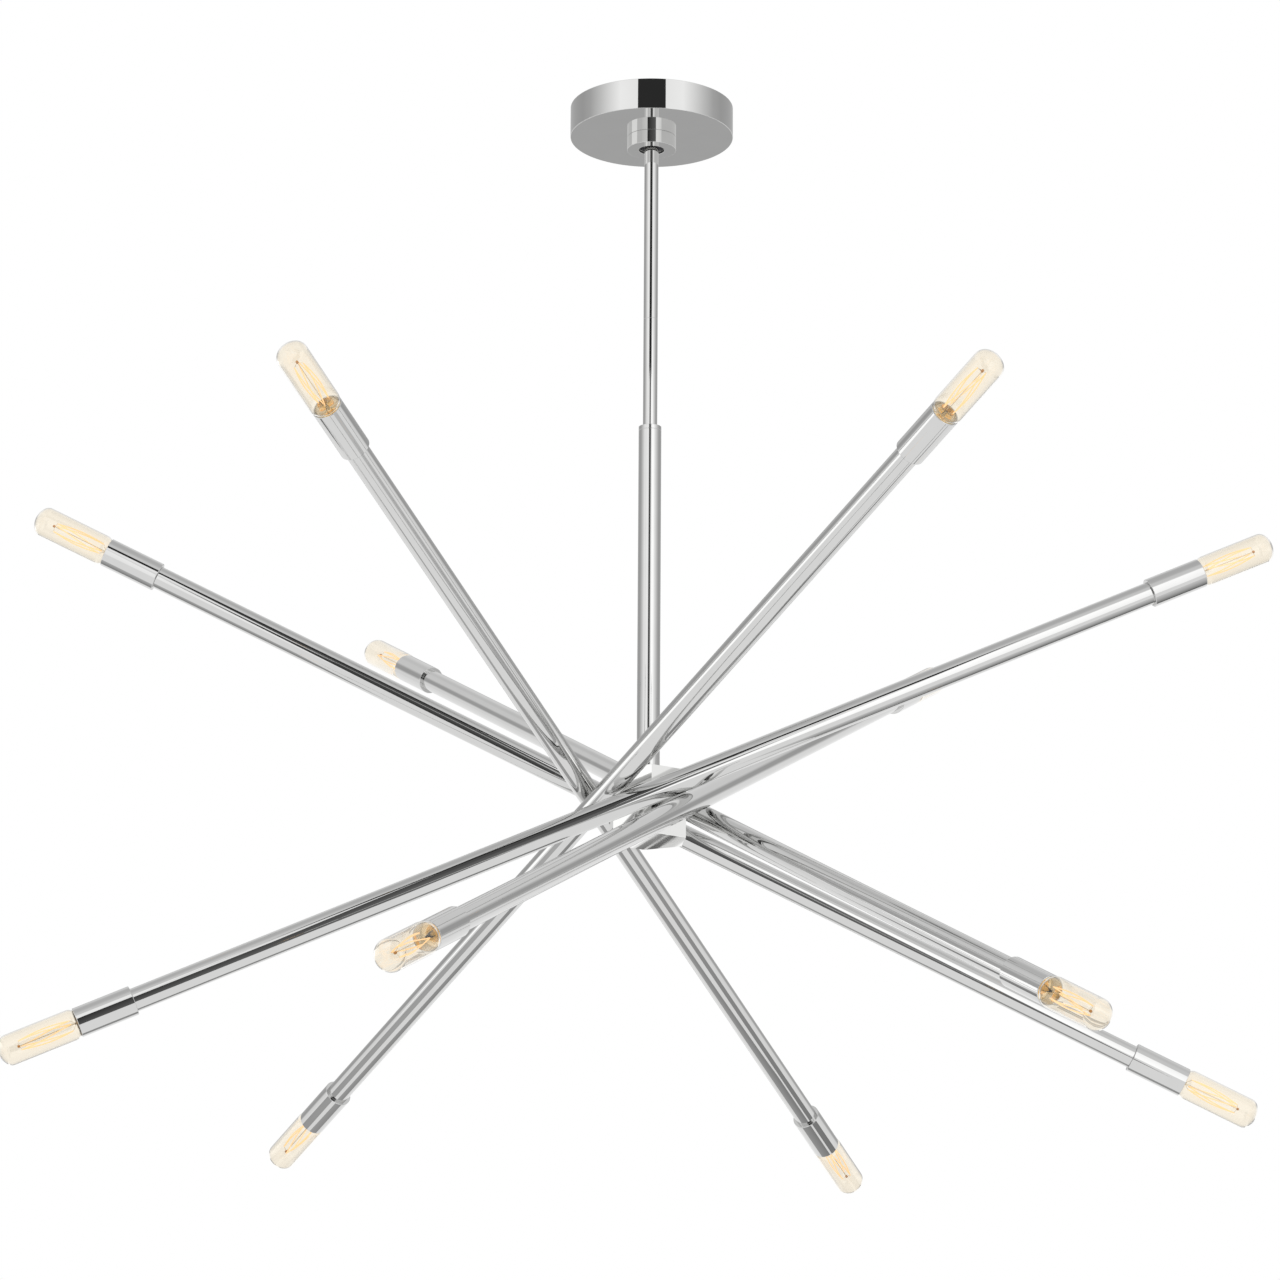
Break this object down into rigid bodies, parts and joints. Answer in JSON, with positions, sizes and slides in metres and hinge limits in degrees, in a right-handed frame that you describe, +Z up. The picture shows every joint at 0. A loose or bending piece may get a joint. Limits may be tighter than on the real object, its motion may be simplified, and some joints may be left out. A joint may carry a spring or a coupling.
{
  "type": "sputnik chandelier",
  "caption": "Pendant ceiling light: slim stem on a swivel canopy, hexagonal hub, straight tubes crossing at its corners with a tubular lamp at each tube end.",
  "frame": {"origin": "centre of the canopy's rim, in the ceiling plane, midway between the two bracket slots", "axes": "+Z up into the ceiling, -Y towards the viewer of the picture, +X to the viewer's right and along the ceiling bracket"},
  "size_m": [1.0366, 0.9687, 0.8678],
  "materials": {
    "polished_nickel": "polished",
    "zinc_steel": "zinc plated",
    "raw_brass": "turned",
    "nylon": "plain",
    "socket_ivory": "moulded",
    "black_steel": "black oxide",
    "ground_green": "green",
    "clear_glass": "clear, warm tint"
  },
  "bodies": {
    "ceiling_mount": {"mounting_bracket": "zinc_steel", "ground_screw": "ground_green", "canopy_nipple": "zinc_steel", "nipple_locknuts": "zinc_steel", "canopy": "polished_nickel", "canopy_collar": "polished_nickel", "swivel_housing": "zinc_steel", "swivel_thrust_washer": "nylon"},
    "swivel_ring": {"swivel_seat_ring": "black_steel"},
    "swivel_cross": {"swivel_washer": "black_steel"},
    "chandelier": {"swivel_ball": "zinc_steel", "upper_stem": "polished_nickel", "lower_stem": "polished_nickel", "stem_coupling": "raw_brass", "sleeve_cap": "polished_nickel", "stem_sleeve": "polished_nickel", "sleeve_foot": "zinc_steel", "hub_lid": "polished_nickel", "hub_body": "polished_nickel", "hub_nipple": "zinc_steel", "hub_locknut": "zinc_steel", "arm_studs": "zinc_steel", "arm_stud_nuts": "zinc_steel", "arm_spacers": "polished_nickel", "arm_inserts": "zinc_steel", "tube_end_plugs": "zinc_steel", "socket_bodies": "socket_ivory", "socket_shells": "raw_brass", "socket_contacts": "raw_brass", "arm_1": "polished_nickel", "arm_2": "polished_nickel", "arm_3": "polished_nickel", "arm_4": "polished_nickel", "arm_5": "polished_nickel", "arm_6": "polished_nickel", "cup_1_upper": "polished_nickel", "cup_1_lower": "polished_nickel", "cup_2_upper": "polished_nickel", "cup_2_lower": "polished_nickel", "cup_3_upper": "polished_nickel", "cup_3_lower": "polished_nickel", "cup_4_upper": "polished_nickel", "cup_4_lower": "polished_nickel", "cup_5_upper": "polished_nickel", "cup_5_lower": "polished_nickel", "cup_6_upper": "polished_nickel", "cup_6_lower": "polished_nickel"},
    "bulb_1_upper": {"bulb_1_upper": "clear_glass"},
    "bulb_1_lower": {"bulb_1_lower": "clear_glass"},
    "bulb_2_upper": {"bulb_2_upper": "clear_glass"},
    "bulb_2_lower": {"bulb_2_lower": "clear_glass"},
    "bulb_3_upper": {"bulb_3_upper": "clear_glass"},
    "bulb_3_lower": {"bulb_3_lower": "clear_glass"},
    "bulb_4_upper": {"bulb_4_upper": "clear_glass"},
    "bulb_4_lower": {"bulb_4_lower": "clear_glass"},
    "bulb_5_upper": {"bulb_5_upper": "clear_glass"},
    "bulb_5_lower": {"bulb_5_lower": "clear_glass"},
    "bulb_6_upper": {"bulb_6_upper": "clear_glass"},
    "bulb_6_lower": {"bulb_6_lower": "clear_glass"}
  },
  "joints": [
    {"name": "swivel_turn", "type": "hinge", "parent": "ceiling_mount", "child": "swivel_ring", "pos_m": [0, 0, -0.027], "axis": [0, 0, 1], "range_deg": [-180, 180]},
    {"name": "swivel_tilt_x", "type": "hinge", "parent": "swivel_ring", "child": "swivel_cross", "pos_m": [0, 0, -0.027], "axis": [1, 0, 0], "range_deg": [-14, 14]},
    {"name": "swivel_tilt_y", "type": "hinge", "parent": "swivel_cross", "child": "chandelier", "pos_m": [0, 0, -0.027], "axis": [0, 1, 0], "range_deg": [-14, 14]},
    {"name": "bulb_1_upper_turn", "type": "hinge", "parent": "chandelier", "child": "bulb_1_upper", "pos_m": [0.46032, 0.00062, -0.41031], "axis": [0.9113, 0.0918, 0.4013], "range_deg": [0, 1080]},
    {"name": "bulb_1_lower_turn", "type": "hinge", "parent": "chandelier", "child": "bulb_1_lower", "pos_m": [-0.4512, -0.09116, -0.81169], "axis": [-0.9113, -0.0918, -0.4013], "range_deg": [0, 1080]},
    {"name": "bulb_2_upper_turn", "type": "hinge", "parent": "chandelier", "child": "bulb_2_upper", "pos_m": [0.24074, 0.39437, -0.41431], "axis": [0.3994, 0.8281, 0.3933], "range_deg": [0, 1080]},
    {"name": "bulb_2_lower_turn", "type": "hinge", "parent": "chandelier", "child": "bulb_2_lower", "pos_m": [-0.15877, -0.43391, -0.80769], "axis": [-0.3994, -0.8281, -0.3933], "range_deg": [0, 1080]},
    {"name": "bulb_3_upper_turn", "type": "hinge", "parent": "chandelier", "child": "bulb_3_upper", "pos_m": [-0.22301, 0.39439, -0.39444], "axis": [-0.5202, 0.7361, 0.433], "range_deg": [0, 1080]},
    {"name": "bulb_3_lower_turn", "type": "hinge", "parent": "chandelier", "child": "bulb_3_lower", "pos_m": [0.29732, -0.34187, -0.82756], "axis": [0.5202, -0.7361, -0.433], "range_deg": [0, 1080]},
    {"name": "bulb_4_upper_turn", "type": "hinge", "parent": "chandelier", "child": "bulb_4_upper", "pos_m": [-0.45377, 0.00637, -0.39602], "axis": [-0.8995, -0.0779, 0.4299], "range_deg": [0, 1080]},
    {"name": "bulb_4_lower_turn", "type": "hinge", "parent": "chandelier", "child": "bulb_4_lower", "pos_m": [0.44592, 0.08429, -0.82598], "axis": [0.8995, 0.0779, -0.4299], "range_deg": [0, 1080]},
    {"name": "bulb_5_upper_turn", "type": "hinge", "parent": "chandelier", "child": "bulb_5_upper", "pos_m": [-0.2435, -0.38027, -0.3913], "axis": [-0.4057, -0.8015, 0.4393], "range_deg": [0, 1080]},
    {"name": "bulb_5_lower_turn", "type": "hinge", "parent": "chandelier", "child": "bulb_5_lower", "pos_m": [0.16231, 0.42137, -0.8307], "axis": [0.4057, 0.8015, -0.4393], "range_deg": [0, 1080]},
    {"name": "bulb_6_upper_turn", "type": "hinge", "parent": "chandelier", "child": "bulb_6_upper", "pos_m": [0.22084, -0.39816, -0.39917], "axis": [0.5163, -0.7443, 0.4236], "range_deg": [0, 1080]},
    {"name": "bulb_6_lower_turn", "type": "hinge", "parent": "chandelier", "child": "bulb_6_lower", "pos_m": [-0.29561, 0.34629, -0.82283], "axis": [-0.5163, 0.7443, -0.4236], "range_deg": [0, 1080]}
  ]
}
